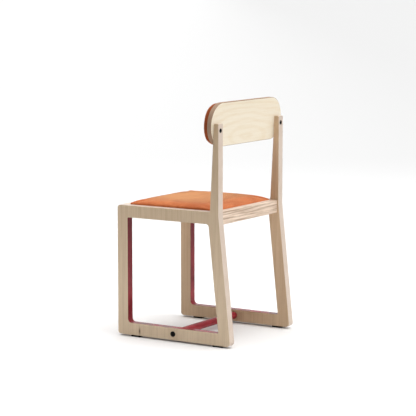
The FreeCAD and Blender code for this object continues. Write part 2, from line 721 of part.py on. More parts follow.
def upholstery(prefix, form, board_label, board_thickness, set_down):
    """Board, foam and cover of one cushion, each set down in its place."""
    skin = "Dims.cover_thickness"
    inner = f"({skin} + Dims.soft_clearance)"
    base, half_x, half_y = form["base"], form["half_width"], form["half_depth"]

    board = new_body(board_label)
    set_down(board)
    plan = new_sketch(board, f"{prefix}_board_plan", "Z", f"{base} + {skin}")
    rounded_rectangle(plan, f"2 * ({half_x} - {inner})", f"2 * ({half_y} - {inner})",
                      f"{form['radius']} - {inner}")
    pad(board, plan, board_thickness)

    foam = new_body(f"{prefix}_foam")
    set_down(foam)
    crowned_block(foam, f"{prefix}_foam", form, f"{base} + {skin} + {board_thickness}", inner)

    # the cover is the whole form less its filling and the opening under the board
    outside = new_body(f"{prefix}_cover_outside", keep=False)
    set_down(outside)
    crowned_block(outside, f"{prefix}_outside", form, base, "0")
    inside = new_body(f"{prefix}_cover_inside", keep=False)
    set_down(inside)
    crowned_block(inside, f"{prefix}_inside", form, f"{base} + {skin}", skin)
    opening = new_sketch(inside, f"{prefix}_opening", "Z", base)
    rounded_rectangle(opening, f"2 * ({half_x} - Dims.cover_return)", f"2 * ({half_y} - Dims.cover_return)",
                      f"{form['radius']} / 2")
    pad(inside, opening, skin)
    cover = doc.addObject("Part::Cut", f"{prefix}_cover")
    cover.Label = f"{prefix}_cover"
    cover.Base = outside
    cover.Tool = inside
    sub_parts.append(cover)
    return board


def seat():
    """Upholstered drop-in seat inside the frames and rails."""
    form = {
        "half_width": SEAT_HALF_WIDTH,
        "half_depth": SEAT_HALF_DEPTH,
        "radius": "Dims.seat_corner_radius",
        "base": SEAT_BOTTOM,
        "edge": "Dims.seat_level",
        "shoulder": "Dims.seat_shoulder",
        "crown": "Dims.seat_crown",
        "end_crown": "Dims.seat_end_crown",
    }
    board = upholstery("seat", form, "seat_board", "Dims.seat_board_thickness",
                       lambda piece: place(piece, y=SEAT_MIDDLE))
    reach_x = f"({HALF_INNER} - Dims.seat_screw_inset)"
    reach_y = f"({SEAT_HALF_DEPTH} + Dims.seat_fit - Dims.seat_screw_inset)"
    points = [(f"{side} * {reach_x}", f"{end} * {reach_y}")
              for side in SIDES.values() for end in ENDS.values()]
    drill(board, "seat_board_pilots", "Z", f"{SEAT_BOTTOM} + Dims.cover_thickness", 1, points, SCREW_HOLE,
          "Dims.screw_in_board")


def stretcher():
    """Round bar between the bottom rails, with an insert and a bolt at each end."""
    body = new_body("stretcher_dowel")
    place(body)
    section = new_sketch(body, "stretcher_section", "X")
    circles(section, [("0", BOTTOM_RAIL_MIDDLE)], "Dims.stretcher_diameter")
    pad(body, section, f"2 * {HALF_INNER}", both_ways=True)
    insert_hole = "(Dims.stretcher_insert_diameter + 2 * Dims.hole_clearance)"
    depth = "Dims.stretcher_insert_length + Dims.hole_clearance"
    inserts = []
    bolts = []
    for side_name, side in SIDES.items():
        drill(body, f"stretcher_{side_name}_hole", "X", f"{side} * {HALF_INNER}", -side,
              [("0", BOTTOM_RAIL_MIDDLE)], insert_hole, depth)
        inward = "-X" if side > 0 else "+X"
        insert = threaded_insert(f"stretcher_{side_name}_insert", "Dims.stretcher_insert_diameter",
                                 "Dims.stretcher_bolt_diameter", "Dims.stretcher_insert_length")
        point_along(insert, f"{side} * {HALF_INNER}", "0", BOTTOM_RAIL_MIDDLE, inward)
        inserts.append(insert)
        length = "(Dims.ply_thickness + Dims.stretcher_bolt_reach)"
        bolt = socket_bolt(f"stretcher_{side_name}_bolt", "stretcher_bolt", length)
        point_along(bolt, f"{side} * {HALF_OUTER}", "0", BOTTOM_RAIL_MIDDLE, inward)
        bolts.append(bolt)
    group("stretcher_inserts", inserts)
    group("stretcher_bolts", bolts)


def backrest():
    """Plywood panel on the posts' front edges, with its pad, inserts and bolts."""
    panel = new_body("back_panel")
    lay_on_back(panel)
    outline = new_sketch(panel, "panel_outline", "Z")
    rounded_rectangle(outline, "Dims.panel_width", "Dims.panel_height", PANEL_RADIUS)
    pad(panel, outline, "Dims.panel_thickness")
    faces = (0, number("Dims.panel_thickness"))
    round_edges(panel, "panel_ease", lambda edge: any(lies_flat(edge, "Z", face) for face in faces),
                "Dims.panel_edge_round")
    bolt_rise = f"({BACK_BOLT_LEVEL} - {PANEL_CENTRE}) / cos({PANEL_TILT})"
    points = [(f"{side} * {FRAME_MIDDLE}", bolt_rise) for side in SIDES.values()]
    insert_hole = "(Dims.back_insert_diameter + 2 * Dims.hole_clearance)"
    drill(panel, "panel_insert_holes", "Z", "0", 1, points, insert_hole,
          "Dims.back_insert_length + Dims.hole_clearance")

    inserts = []
    bolts = []
    front = f"{POST_EDGE} - {POST_WIDTH_AT_BOLT}"
    square_to_panel = ((1, 0, 0), f"90 deg - {PANEL_TILT}")
    for side_name, side in SIDES.items():
        middle = f"{side} * {FRAME_MIDDLE}"
        insert = threaded_insert(f"back_{side_name}_insert", "Dims.back_insert_diameter",
                                 "Dims.back_bolt_diameter", "Dims.back_insert_length")
        place(insert, middle, front, BACK_BOLT_LEVEL, *square_to_panel)
        inserts.append(insert)
        length = f"({BACK_BOLT_GRIP} + Dims.back_bolt_reach)"
        bolt = socket_bolt(f"back_{side_name}_bolt", "back_bolt", length)
        place(bolt, middle, f"{front} + {BACK_BOLT_GRIP} * cos({PANEL_TILT})",
              f"{BACK_BOLT_LEVEL} - {BACK_BOLT_GRIP} * sin({PANEL_TILT})", *square_to_panel)
        bolts.append(bolt)
    group("back_inserts", inserts)
    group("back_bolts", bolts)

    form = {
        "half_width": "(Dims.panel_width / 2 - Dims.pad_inset)",
        "half_depth": PAD_HALF_HEIGHT,
        "radius": f"({PAD_HALF_HEIGHT} - Dims.pad_end_flat / 2)",
        "base": "Dims.panel_thickness",
        "edge": "(Dims.panel_thickness + Dims.pad_wall)",
        "shoulder": "Dims.pad_shoulder",
        "crown": "Dims.pad_crown",
        "end_crown": "Dims.pad_end_crown",
    }
    upholstery("back", form, "back_pad_board", "Dims.pad_board_thickness", lay_on_back)


def glides():
    """Plastic glides under the bottom rails, each held by a screw."""
    screws = []
    stations = {
        "front": f"{FRONT_EDGE} + Dims.glide_front_inset",
        "rear": "Dims.frame_depth / 2 - Dims.glide_rear_inset",
    }
    for end_name, station in stations.items():
        for side_name, side in SIDES.items():
            name = f"{end_name}_{side_name}"
            middle = f"{side} * {FRAME_MIDDLE}"
            body = new_body(f"{name}_glide")
            place(body, middle, station)
            plan = new_sketch(body, f"{name}_glide_plan", "Z")
            rounded_rectangle(plan, "Dims.glide_width", "Dims.glide_length", "Dims.glide_corner_radius")
            pad(body, plan, "Dims.glide_height")
            round_edges(body, f"{name}_glide_rim", lambda edge: lies_flat(edge, "Z", 0),
                        "Dims.glide_rim_round")
            drill(body, f"{name}_glide_hole", "Z", "0", 1, [("0", "0")], SCREW_HOLE, "Dims.glide_height")
            countersink(body, f"{name}_glide_head", "Dims.glide_screw_sink")
            screw = wood_screw(f"{name}_glide_screw", "Dims.glide_screw_length")
            point_along(screw, middle, station, "Dims.glide_screw_sink", "+Z")
            screws.append(screw)
    group("glide_screws", screws)


for name in SIDES:
    side_frame(name)
for name in ENDS:
    seat_rail(name)
corner_blocks()
seat()
stretcher()
backrest()
glides()
doc.recompute()

# Nothing is written unless every object and every solid is sound
for item in doc.Objects:
    if "Invalid" in item.State or "Error" in item.State:
        raise RuntimeError(f"{item.Label} failed: {item.State}")
for piece in sub_parts:
    if piece.Shape.isNull() or not piece.Shape.isValid():
        raise RuntimeError(f"{piece.Label} has no valid shape")

os.makedirs("parts", exist_ok=True)
for piece in sub_parts:
    piece.Shape.exportStep(f"parts/{piece.Label}.step")
    print(piece.Label, len(piece.Shape.Solids), round(piece.Shape.Volume))
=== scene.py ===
import json
import math

import bmesh
import bpy
from mathutils import Matrix, Vector


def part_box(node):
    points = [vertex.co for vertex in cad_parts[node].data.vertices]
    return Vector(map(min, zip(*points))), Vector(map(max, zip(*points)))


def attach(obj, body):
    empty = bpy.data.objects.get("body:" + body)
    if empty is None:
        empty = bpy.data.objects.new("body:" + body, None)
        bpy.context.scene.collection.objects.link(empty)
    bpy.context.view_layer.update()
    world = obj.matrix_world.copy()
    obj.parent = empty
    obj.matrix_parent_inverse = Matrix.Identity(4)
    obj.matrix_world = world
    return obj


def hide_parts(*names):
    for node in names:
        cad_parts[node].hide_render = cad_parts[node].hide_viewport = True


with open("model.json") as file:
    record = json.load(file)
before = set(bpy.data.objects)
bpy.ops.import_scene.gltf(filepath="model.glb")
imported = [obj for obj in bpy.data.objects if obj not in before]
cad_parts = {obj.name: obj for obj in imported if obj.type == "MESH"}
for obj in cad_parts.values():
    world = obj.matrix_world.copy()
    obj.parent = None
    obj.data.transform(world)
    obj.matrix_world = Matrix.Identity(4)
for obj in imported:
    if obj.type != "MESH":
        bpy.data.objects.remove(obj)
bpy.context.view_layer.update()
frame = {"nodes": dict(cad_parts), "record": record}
nodes = frame["nodes"]
scene = bpy.context.scene

# Units and the three axes of the chair: X to its left, Y to its rear, Z up
MM = 0.001
AXES = {"X": Vector((1, 0, 0)), "Y": Vector((0, 1, 0)), "Z": Vector((0, 0, 1))}

# Colours, linear: pale, middle and deep tone of each wood, then the other finishes
BIRCH = ((0.705, 0.56, 0.395), (0.635, 0.487, 0.333), (0.44, 0.31, 0.19))
WARM_BIRCH = ((0.655, 0.48, 0.315), (0.585, 0.41, 0.258), (0.41, 0.26, 0.145))
PALE_BIRCH = ((0.785, 0.705, 0.57), (0.755, 0.665, 0.515), (0.66, 0.51, 0.30))
STREAKED = ((0.78, 0.63, 0.505), (0.60, 0.452, 0.336), (0.30, 0.19, 0.12))
BEECH = ((0.56, 0.38, 0.24), (0.47, 0.30, 0.18), (0.33, 0.19, 0.10))
FRAME_LAYERS = ((0.64, 0.54, 0.465), (0.505, 0.393, 0.306))
PANEL_LAYERS = ((0.42, 0.295, 0.21), (0.28, 0.185, 0.125))
LOOP_RED = ((0.31, 0.034, 0.044), (0.145, 0.011, 0.018))
BAR_RED = ((0.31, 0.032, 0.040), (0.23, 0.020, 0.027))
ORANGE = ((0.572, 0.166, 0.059), (0.482, 0.129, 0.045), (0.35, 0.076, 0.025))
# Paler orange of the seat's painted sheen
PAINTED_SHEEN_ORANGE = (0.90, 0.42, 0.165)
# Darker orange of the pad side's painted shade
PAINTED_SIDE_SHADE = (0.245, 0.056, 0.018)
NAP_TINT = (1.0, 0.66, 0.38)
KNOT_DARK = (0.045, 0.025, 0.014)
KNOT_HALO = (0.33, 0.20, 0.11)
BLACK_OXIDE = (0.006, 0.006, 0.006)
ZINC = (0.62, 0.62, 0.60)
BLACK_NYLON = (0.009, 0.009, 0.010)
FLOOR_WHITE = (0.79, 0.79, 0.79)
FLOOR_SHADE = (0.77, 0.77, 0.77)
FLOOR_FORE = (0.42, 0.42, 0.42)
# Greys of the painted shade far behind the chair
PAINTED_FLOOR_SHADE_BEHIND = ((0.625, 0.625, 0.625), (0.55, 0.55, 0.55))

# Fibres and growth lines of the woods, and the heights between which painted shade deepens the tones
# upwards
FIBRE_SQUEEZE = 0.055
GROWTH_RINGS = 95
LENS_FLATNESS = 0.27
LENS_WAVER = 0.034
LENS_SPACING = 0.021
LENS_DROP = 46 * MM
UPWARD_SHADE_HEIGHTS = (0.12, 0.74)
RED_SHADE_HEIGHTS = (0.05, 0.42)

# Thickness of one layer of the plywood and of one yarn of the cloth
PLY_LAYER = 1.45 * MM
YARN = 0.75 * MM

# Sockets of Blender's mix node that carry colours
MIX_COLOURS = (6, 7)
MIX_RESULT = 2


class Nodes:
    """A node tree with short calls for the nodes that the finishes and the room use."""

    def __init__(self, tree):
        self.tree = tree

    def node(self, kind, inputs, **settings):
        """New node; each input is a socket to link or a value to set."""
        made = self.tree.nodes.new(kind)
        for name, value in settings.items():
            setattr(made, name, value)
        for name, value in inputs.items():
            self.feed(made.inputs[name], value)
        return made

    def feed(self, socket, value):
        """Link a socket or set its value."""
        if isinstance(value, bpy.types.NodeSocket):
            self.tree.links.new(value, socket)
        else:
            socket.default_value = value

    def coordinate(self, kind):
        """Place or direction of the point that is shaded."""
        return self.node("ShaderNodeTexCoord", {}).outputs[kind]

    def stretch(self, vector, scale, shift=(0, 0, 0)):
        """Position scaled axis by axis and shifted."""
        inputs = {"Vector": vector, "Scale": scale, "Location": shift}
        return self.node("ShaderNodeMapping", inputs).outputs[0]

    def noise(self, vector, scale, detail=2.0, roughness=0.5, distortion=0.0):
        """Noise from 0 to 1, with scale as its number of waves in a metre."""
        inputs = {"Vector": vector, "Scale": scale, "Detail": detail, "Roughness": roughness,
                  "Distortion": distortion}
        return self.node("ShaderNodeTexNoise", inputs).outputs[0]

    def calc(self, operation, *values):
        """One step of arithmetic."""
        made = self.node("ShaderNodeMath", {}, operation=operation)
        for socket, value in zip(made.inputs, values):
            self.feed(socket, value)
        return made.outputs[0]

    def along(self, vector, direction):
        """Distance along a direction."""
        made = self.node("ShaderNodeVectorMath", {}, operation="DOT_PRODUCT")
        self.feed(made.inputs[0], vector)
        made.inputs[1].default_value = direction
        return made.outputs["Value"]

    def span(self, value, low, high, to_low=0.0, to_high=1.0):
        """Value carried smoothly from one range to another."""
        inputs = {"Value": value, "From Min": low, "From Max": high, "To Min": to_low, "To Max": to_high}
        return self.node("ShaderNodeMapRange", inputs, interpolation_type="SMOOTHSTEP").outputs[0]

    def ramp(self, factor, stops):
        """Colour from a few stops of position and colour."""
        made = self.node("ShaderNodeValToRGB", {"Fac": factor})
        elements = made.color_ramp.elements
        while len(elements) < len(stops):
            elements.new(1.0)
        for element, (position, colour) in zip(elements, stops):
            element.position = position
            element.color = (*colour, 1.0)
        return made.outputs["Color"]

    def mix(self, factor, first, second):
        """Two colours mixed, each a socket or a plain colour."""
        made = self.node("ShaderNodeMix", {}, data_type="RGBA")
        self.feed(made.inputs[0], factor)
        for index, colour in zip(MIX_COLOURS, (first, second)):
            plain = not isinstance(colour, bpy.types.NodeSocket)
            self.feed(made.inputs[index], (*colour, 1.0) if plain else colour)
        return made.outputs[MIX_RESULT]

    def bump(self, height, strength, distance):
        """Surface normal from a height."""
        inputs = {"Height": height, "Strength": strength, "Distance": distance}
        return self.node("ShaderNodeBump", inputs).outputs[0]


class Shader(Nodes):
    """A surface material, with constants set on its sockets."""

    def __init__(self, name, constants):
        self.material = bpy.data.materials.new(name)
        self.material.use_nodes = True
        super().__init__(self.material.node_tree)
        self.surface = self.tree.nodes["Principled BSDF"]
        for socket, value in constants.items():
            self.surface.inputs[socket].default_value = value

    def place(self):
        """Position on the chair, in metres."""
        return self.coordinate("Object")

    def height(self):
        """Height above the floor."""
        return self.along(self.place(), AXES["Z"])

    def finish(self, **sockets):
        """Feed the surface, with names such as Base_Color for its sockets."""
        for name, value in sockets.items():
            self.feed(self.surface.inputs[name.replace("_", " ")], value)
        return self.material


def grain_space(shader, grain, squeeze, shift=(0, 0, 0)):
    """Position squeezed along the grain, so that noise turns into fibres."""
    scale = [1.0, 1.0, 1.0]
    scale["XYZ".index(grain)] = squeeze
    return shader.stretch(shader.place(), scale, shift)


def growth_lines(shader, space, depth):
    """Contours of a slow noise, which read as the growth lines of a flat-sawn veneer."""
    rise = shader.noise(space, scale=7, detail=1, distortion=0.25)
    wave = shader.calc("SINE", shader.calc("MULTIPLY", rise, GROWTH_RINGS))
    return shader.span(wave, -0.1, 1.0, 0.0, depth)


def lens_lines(shader, up, level, depth):
    """Growth lines of a flat-sawn panel: long lenses around a low middle, wavering a little."""
    place = shader.place()
    aside = shader.calc("MULTIPLY", shader.along(place, AXES["X"]), LENS_FLATNESS)
    above = shader.calc("SUBTRACT", shader.along(place, up), level)
    squares = [shader.calc("MULTIPLY", part, part) for part in (aside, above)]
    away = shader.calc("SQRT", shader.calc("ADD", *squares))
    drift = shader.noise(shader.stretch(place, (0.4, 1.0, 1.0)), scale=15, detail=2)
    rise = shader.calc("ADD", away, shader.calc("MULTIPLY", drift, LENS_WAVER))
    wave = shader.calc("SINE", shader.calc("MULTIPLY", rise, 2 * math.pi / LENS_SPACING))
    return shader.span(wave, -0.3, 1.0, 0.0, depth)


def slit_distance(shader, place, size):
    """Distance from a point, in units of a size along each axis."""
    scale = [1 / part for part in size]
    centre = [-at / part for at, part in zip(place, size)]
    away = shader.node("ShaderNodeVectorMath", {}, operation="LENGTH")
    shader.feed(away.inputs[0], shader.stretch(shader.place(), scale, centre))
    return away.outputs["Value"]


def wood(name, grain, tones, figure=0.14, streak_length=0.03, streak_size=170, streaks=0.2,
         shift=(0, 0, 0), painted_upward_shade=0.0, lens=None, knot=None):
    """Clear matt lacquered wood.

    painted_upward_shade is how far the tone deepens from the floor upwards, as painted shade. lens is the
    way up and the level of a panel's lens of growth lines. A knot is a short dark slit at a point.
    """
    pale, middle, deep = tones
    shader = Shader(name, {"Specular IOR Level": 0.5})
    fibres = grain_space(shader, grain, FIBRE_SQUEEZE, shift)
    slow = shader.noise(fibres, scale=14, detail=2, distortion=0.3)
    colour = shader.ramp(slow, [(0.30, middle), (0.68, pale)])
    if lens is None:
        lines = growth_lines(shader, fibres, figure)
    else:
        lines = lens_lines(shader, *lens, figure)
    colour = shader.mix(lines, colour, deep)
    # Painted shade: the tone deepens from the floor upwards
    upward_shade_mask = shader.span(shader.height(), *UPWARD_SHADE_HEIGHTS, 0.0, painted_upward_shade)
    colour = shader.mix(upward_shade_mask, colour, deep)
    strands = grain_space(shader, grain, streak_length, shift)
    threads = shader.noise(strands, scale=streak_size, detail=3, roughness=0.6)
    streak_tone = shader.ramp(threads, [(0.34, deep), (0.50, middle), (0.64, pale)])
    colour = shader.mix(streaks, colour, streak_tone)
    pores = shader.span(shader.noise(fibres, scale=900, detail=2), 0.60, 0.72, 0.0, 0.30)
    colour = shader.mix(pores, colour, deep)
    if knot is not None:
        away = slit_distance(shader, *knot)
        colour = shader.mix(shader.span(away, 2.6, 0.9, 0.0, 0.75), colour, KNOT_HALO)
        colour = shader.mix(shader.span(away, 1.1, 0.5), colour, KNOT_DARK)
    relief = shader.calc("SUBTRACT", threads, pores)
    gloss = shader.span(slow, 0.3, 0.7, 0.38, 0.50)
    normal = shader.bump(relief, strength=0.3, distance=0.12 * MM)
    return shader.finish(Base_Color=colour, Roughness=gloss, Normal=normal)


def ply_edge(name, across, tones, specular, gloss_range):
    """Cut edge of plywood: thin layers with the grain running by turns along and across."""
    light, dark = tones
    stain_depth = 0.35
    shader = Shader(name, {"Specular IOR Level": specular})
    place = shader.place()
    wobble = shader.calc("MULTIPLY", shader.noise(place, scale=9, detail=1), 0.5)
    turns = shader.calc("MULTIPLY", shader.along(place, across), math.pi / PLY_LAYER)
    wave = shader.calc("SINE", shader.calc("ADD", turns, wobble))
    layers = shader.span(wave, -0.45, 0.45)
    tone = shader.mix(layers, light, dark)
    stain = shader.span(shader.noise(place, scale=25, detail=3), 0.35, 0.70, 0.0, stain_depth)
    tone = shader.mix(stain, tone, dark)
    ends = shader.span(shader.noise(place, scale=1100, detail=2), 0.50, 0.70)
    specks = shader.calc("MULTIPLY", shader.calc("MULTIPLY", ends, layers), 0.35)
    colour = shader.mix(specks, tone, BIRCH[-1])
    relief = shader.calc("SUBTRACT", 1.0, shader.calc("MULTIPLY", layers, 0.6))
    gloss = shader.span(stain, 0.0, stain_depth, *gloss_range)
    normal = shader.bump(relief, strength=0.3, distance=0.1 * MM)
    return shader.finish(Base_Color=colour, Roughness=gloss, Normal=normal)


def lacquer(name, grain, tones, fade=None):
    """Satin red lacquer with the wood's fibres just showing through.

    fade holds the two heights between which it deepens upwards, as painted shade.
    """
    bright, deep = tones
    shader = Shader(name, {"Specular IOR Level": 0.12})
    fibres = grain_space(shader, grain, FIBRE_SQUEEZE)
    cloud = shader.span(shader.noise(shader.place(), scale=18, detail=3), 0.3, 0.7)
    tone = shader.mix(cloud, deep, bright)
    if fade is not None:
        # Painted shade: the red deepens upwards between the two heights
        tone = shader.mix(shader.span(shader.height(), *fade), tone, deep)
    thread = shader.span(shader.noise(fibres, scale=500, detail=2), 0.45, 0.75, 0.0, 0.25)
    colour = shader.mix(thread, tone, deep)
    relief = shader.calc("ADD", thread, shader.noise(shader.place(), scale=260, detail=2))
    gloss = shader.span(cloud, 0.0, 1.0, 0.17, 0.24)
    normal = shader.bump(relief, strength=0.12, distance=0.15 * MM)
    return shader.finish(Base_Color=colour, Roughness=gloss, Normal=normal)


def cloth(name, tones, across, along, painted_sheen=None, painted_side_shade=None):
    """Plain woven cloth with a pale nap that shows at a slant.

    painted_sheen is the place and size of a paler patch, a painted sheen; painted_side_shade is the way out
    of a cushion and the two levels between which its darker side, a painted shade, turns into the front.
    """
    bright, middle, deep = tones
    shader = Shader(name, {"Roughness": 0.85, "Specular IOR Level": 0.1, "Sheen Weight": 1.0,
                           "Sheen Roughness": 0.3, "Sheen Tint": (*NAP_TINT, 1.0)})
    place = shader.place()
    fray = shader.calc("MULTIPLY", shader.noise(place, scale=420, detail=2), 2.6)

    def yarns(direction):
        count = shader.calc("MULTIPLY", shader.along(place, direction), math.pi / YARN)
        return shader.calc("SINE", shader.calc("ADD", count, fray))

    threads = shader.span(shader.calc("MULTIPLY", yarns(across), yarns(along)), -1.0, 1.0)
    strokes = shader.stretch(place, (0.5, 1.0, 1.0))
    brushed = shader.noise(strokes, scale=26, detail=4, roughness=0.6, distortion=0.8)
    nap = shader.span(brushed, 0.36, 0.66)
    tone = shader.mix(nap, middle, bright)
    if painted_sheen is not None:
        # Painted sheen: a paler patch on the seat's middle, broken up by the nap
        sheen_patch = shader.span(slit_distance(shader, *painted_sheen), 1.3, 0.0)
        sheen_patch = shader.calc("MULTIPLY", sheen_patch, shader.span(brushed, 0.30, 0.62, 0.45, 1.0))
        tone = shader.mix(sheen_patch, tone, PAINTED_SHEEN_ORANGE)
    if painted_side_shade is not None:
        # Painted shade: the cushion's side turns darker below its shoulder
        outward, low, high = painted_side_shade
        tone = shader.mix(shader.span(shader.along(place, outward), low, high), PAINTED_SIDE_SHADE, tone)
    thick_yarns = shader.noise(shader.stretch(place, (0.12, 1.0, 1.0)), scale=520, detail=3)
    slubs = shader.span(thick_yarns, 0.50, 0.75, 0.0, 0.30)
    colour = shader.mix(slubs, tone, deep)
    colour = shader.mix(shader.calc("MULTIPLY", threads, 0.28), colour, deep)
    normal = shader.bump(threads, strength=0.35, distance=0.25 * MM)
    return shader.finish(Base_Color=colour, Normal=normal)


def metal(name, colour, gloss_range, metallic, specular):
    """Plated or blackened steel with fine handling marks."""
    shader = Shader(name, {"Metallic": metallic, "Specular IOR Level": specular})
    marks = shader.noise(shader.place(), scale=600, detail=4, roughness=0.65)
    darker = tuple(part * 0.6 for part in colour)
    tone = shader.ramp(marks, [(0.35, darker), (0.65, colour)])
    gloss = shader.span(marks, 0.3, 0.7, *gloss_range)
    normal = shader.bump(marks, strength=0.08, distance=0.05 * MM)
    return shader.finish(Base_Color=tone, Roughness=gloss, Normal=normal)


def plastic(name, colour):
    """Moulded matt plastic, lightly scuffed."""
    shader = Shader(name, {"Specular IOR Level": 0.2})
    place = shader.place()
    pebble = shader.noise(place, scale=1400, detail=2)
    scuff = shader.span(shader.noise(place, scale=120, detail=4, roughness=0.7), 0.55, 0.75)
    paler = tuple(part * 2.2 for part in colour)
    tone = shader.mix(scuff, colour, paler)
    gloss = shader.span(scuff, 0.0, 1.0, 0.6, 0.75)
    normal = shader.bump(pebble, strength=0.25, distance=0.1 * MM)
    return shader.finish(Base_Color=tone, Roughness=gloss, Normal=normal)


def dress(node_name, *materials):
    """Give a CAD node its materials in place of its plain one."""
    mesh = nodes[node_name].data
    mesh.materials.clear()
    for material in materials:
        mesh.materials.append(material)
    return mesh


# How far a face has to look one way to count as broad, or as truly flat
BROAD = 0.7
FLAT = 0.99


def broad_rear_normal(node_name):
    """Normal of the largest flat area of a node that looks to the rear."""
    areas = {}
    for polygon in nodes[node_name].data.polygons:
        if polygon.normal.y > BROAD:
            key = tuple(round(part, 4) for part in polygon.normal)
            areas[key] = areas.get(key, 0.0) + polygon.area
    return Vector(max(areas, key=areas.get)).normalized()


# The backrest leans with the posts, so its own axes come from the panel's broad rear face
panel_front = -broad_rear_normal("back_panel")
panel_up = panel_front.cross(AXES["X"]).normalized()
panel_rises = [panel_up.dot(vertex.co) for vertex in nodes["back_panel"].data.vertices]
panel_level = (max(panel_rises) + min(panel_rises)) / 2

# Finishes of the rigid pieces
LEFT_KNOT = ((0.206, -0.1315, 0.0215), (0.02, 0.0022, 0.0075))
frame_edge = ply_edge("frame_ply_edge", AXES["X"], FRAME_LAYERS, specular=0.5, gloss_range=(0.28, 0.40))
panel_edge = ply_edge("panel_ply_edge", panel_front, PANEL_LAYERS, specular=0.05, gloss_range=(0.60, 0.75))
# The red inside the leg loop deepens upwards as painted shade
frame_red = lacquer("red_loop_lacquer", "Z", LOOP_RED, RED_SHADE_HEIGHTS)
bar_red = lacquer("red_bar_lacquer", "X", BAR_RED)
rail_wood = wood("streaked_rail", "X", STREAKED, figure=0.25, streak_length=0.04, streak_size=190,
                 streaks=0.85)
panel_wood = wood("pale_panel", "X", PALE_BIRCH, figure=0.26, lens=(panel_up, panel_level - LENS_DROP))
board_wood = wood("seat_board_ply", "Y", BIRCH)
block_wood = wood("beech_block", "Y", BEECH)
dowel_wood = wood("beech_dowel", "X", BEECH)
steel_black = metal("black_oxide_steel", BLACK_OXIDE, gloss_range=(0.5, 0.7), metallic=0.0, specular=0.1)
steel_zinc = metal("zinc_plated_steel", ZINC, gloss_range=(0.26, 0.42), metallic=1.0, specular=0.5)
glide_black = plastic("black_nylon", BLACK_NYLON)
veneers = {
    # The near frame's tone deepens upwards as painted shade
    "left": wood("left_frame_birch", "Z", BIRCH, streaks=0.3, shift=(0.3, 0.1, 0.0), painted_upward_shade=0.9,
                 knot=LEFT_KNOT),
    "right": wood("right_frame_birch", "Z", WARM_BIRCH, streaks=0.3, shift=(2.1, 0.7, 0.3)),
}

# Side frames: veneer on the two broad faces, red inside the leg loop, bare layers on the other edges
FACE, EDGE, RED = range(3)
LOOP_MARGIN = 6 * MM
LOOP_SLANT_MARGIN = 3 * LOOP_MARGIN
openings = frame["record"]["physics"]["openings"]
for side, veneer in veneers.items():
    mesh = dress(f"{side}_side_frame", veneer, frame_edge, frame_red)
    loops = [opening["box_m"] for opening in openings if opening["name"].startswith(f"{side}_leg_loop")]
    loop_y = (min(low[1] for low, high in loops), max(high[1] for low, high in loops) + LOOP_SLANT_MARGIN)
    loop_z = (min(low[2] for low, high in loops), max(high[2] for low, high in loops))
    middle = Vector((0, sum(loop_y) / 2, sum(loop_z) / 2))
    for polygon in mesh.polygons:
        at = polygon.center
        inside = (loop_y[0] - LOOP_MARGIN < at.y < loop_y[1] + LOOP_MARGIN
                  and loop_z[0] - LOOP_MARGIN < at.z < loop_z[1] + LOOP_MARGIN)
        if abs(polygon.normal.x) > BROAD:
            polygon.material_index = FACE
        elif inside and polygon.normal.dot(middle - Vector((0, at.y, at.z))) > 0:
            polygon.material_index = RED
        else:
            polygon.material_index = EDGE

# Backrest panel: veneer on its two flat faces, bare layers around them
mesh = dress("back_panel", panel_wood, panel_edge)
for polygon in mesh.polygons:
    polygon.material_index = FACE if abs(polygon.normal.dot(panel_front)) > FLAT else EDGE

# The other rigid pieces, with one finish each
for end in ("front", "rear"):
    dress(f"{end}_seat_rail", rail_wood)
    dress(f"{end}_rail_dowels", dowel_wood)
    for side in ("left", "right"):
        dress(f"{end}_{side}_corner_block", block_wood)
        dress(f"{end}_{side}_glide", glide_black)
dress("seat_board", board_wood)
dress("back_pad_board", board_wood)
dress("stretcher_dowel", bar_red)
for node_name in ("stretcher_bolts", "back_bolts"):
    dress(node_name, steel_black)
for node_name in ("corner_block_screws", "seat_fixing_screws", "glide_screws"):
    dress(node_name, steel_zinc)
for node_name in ("stretcher_inserts", "back_inserts"):
    dress(node_name, steel_zinc)

# Cushions: mesh step, cloth, creases at the corners, lip over the frame and the simulation's settings
CLOTH_STEP = 5 * MM
COVER_THICKNESS = 1.2 * MM
COVER_RETURN = 15 * MM
FOLD_MIDDLE = 34 * MM
FOLD_SPREAD = 20 * MM
FOLDS_IN_CORNER = 2.5
LIP_REACH = 45 * MM
LIP_GAP = 6 * MM
LIP_CORNER_EASE = 0.25
FILL_PRESSURE = 4.0
FILL_STEPS = 20
RIM_LEVEL = 0.5 * MM


def side_point(half_run, half_out, radius, fraction):
    """Point on one side of a rounded rectangle, from the middle of one corner to the next."""
    bend = math.pi / 4 * radius
    run = 2 * (half_run - radius)
    walked = fraction * (2 * bend + run)
    if walked < bend:
        turn = walked / radius - math.pi / 4
        start = radius - half_run
    elif walked > bend + run:
        turn = (walked - bend - run) / radius
        start = half_run - radius
    else:
        return walked - bend - run / 2, half_out
    return start + radius * math.sin(turn), half_out - radius + radius * math.cos(turn)


def plan_point(half_x, half_y, radius, s, t):
    """Point of a grid fitted into a rounded rectangle, blended from its four sides."""
    def lower(u):
        x, out = side_point(half_x, half_y, radius, u)
        return Vector((x, -out))

    def upper(u):
        return Vector(side_point(half_x, half_y, radius, u))

    def right(u):
        y, out = side_point(half_y, half_x, radius, u)
        return Vector((out, y))

    def left(u):
        y, out = side_point(half_y, half_x, radius, u)
        return Vector((-out, y))

    sides = (1 - t) * lower(s) + t * upper(s) + (1 - s) * left(t) + s * right(t)
    corners = ((1 - s) * (1 - t) * lower(0) + s * (1 - t) * lower(1)
               + (1 - s) * t * upper(0) + s * t * upper(1))
    return sides - corners


def inset_of(point, half_x, half_y, radius):
    """Distance of a plan point inside the rounded rectangle's outline."""
    over_x = abs(point.x) - half_x + radius
    over_y = abs(point.y) - half_y + radius
    outside = math.hypot(max(over_x, 0), max(over_y, 0))
    return radius - outside - min(max(over_x, over_y), 0)


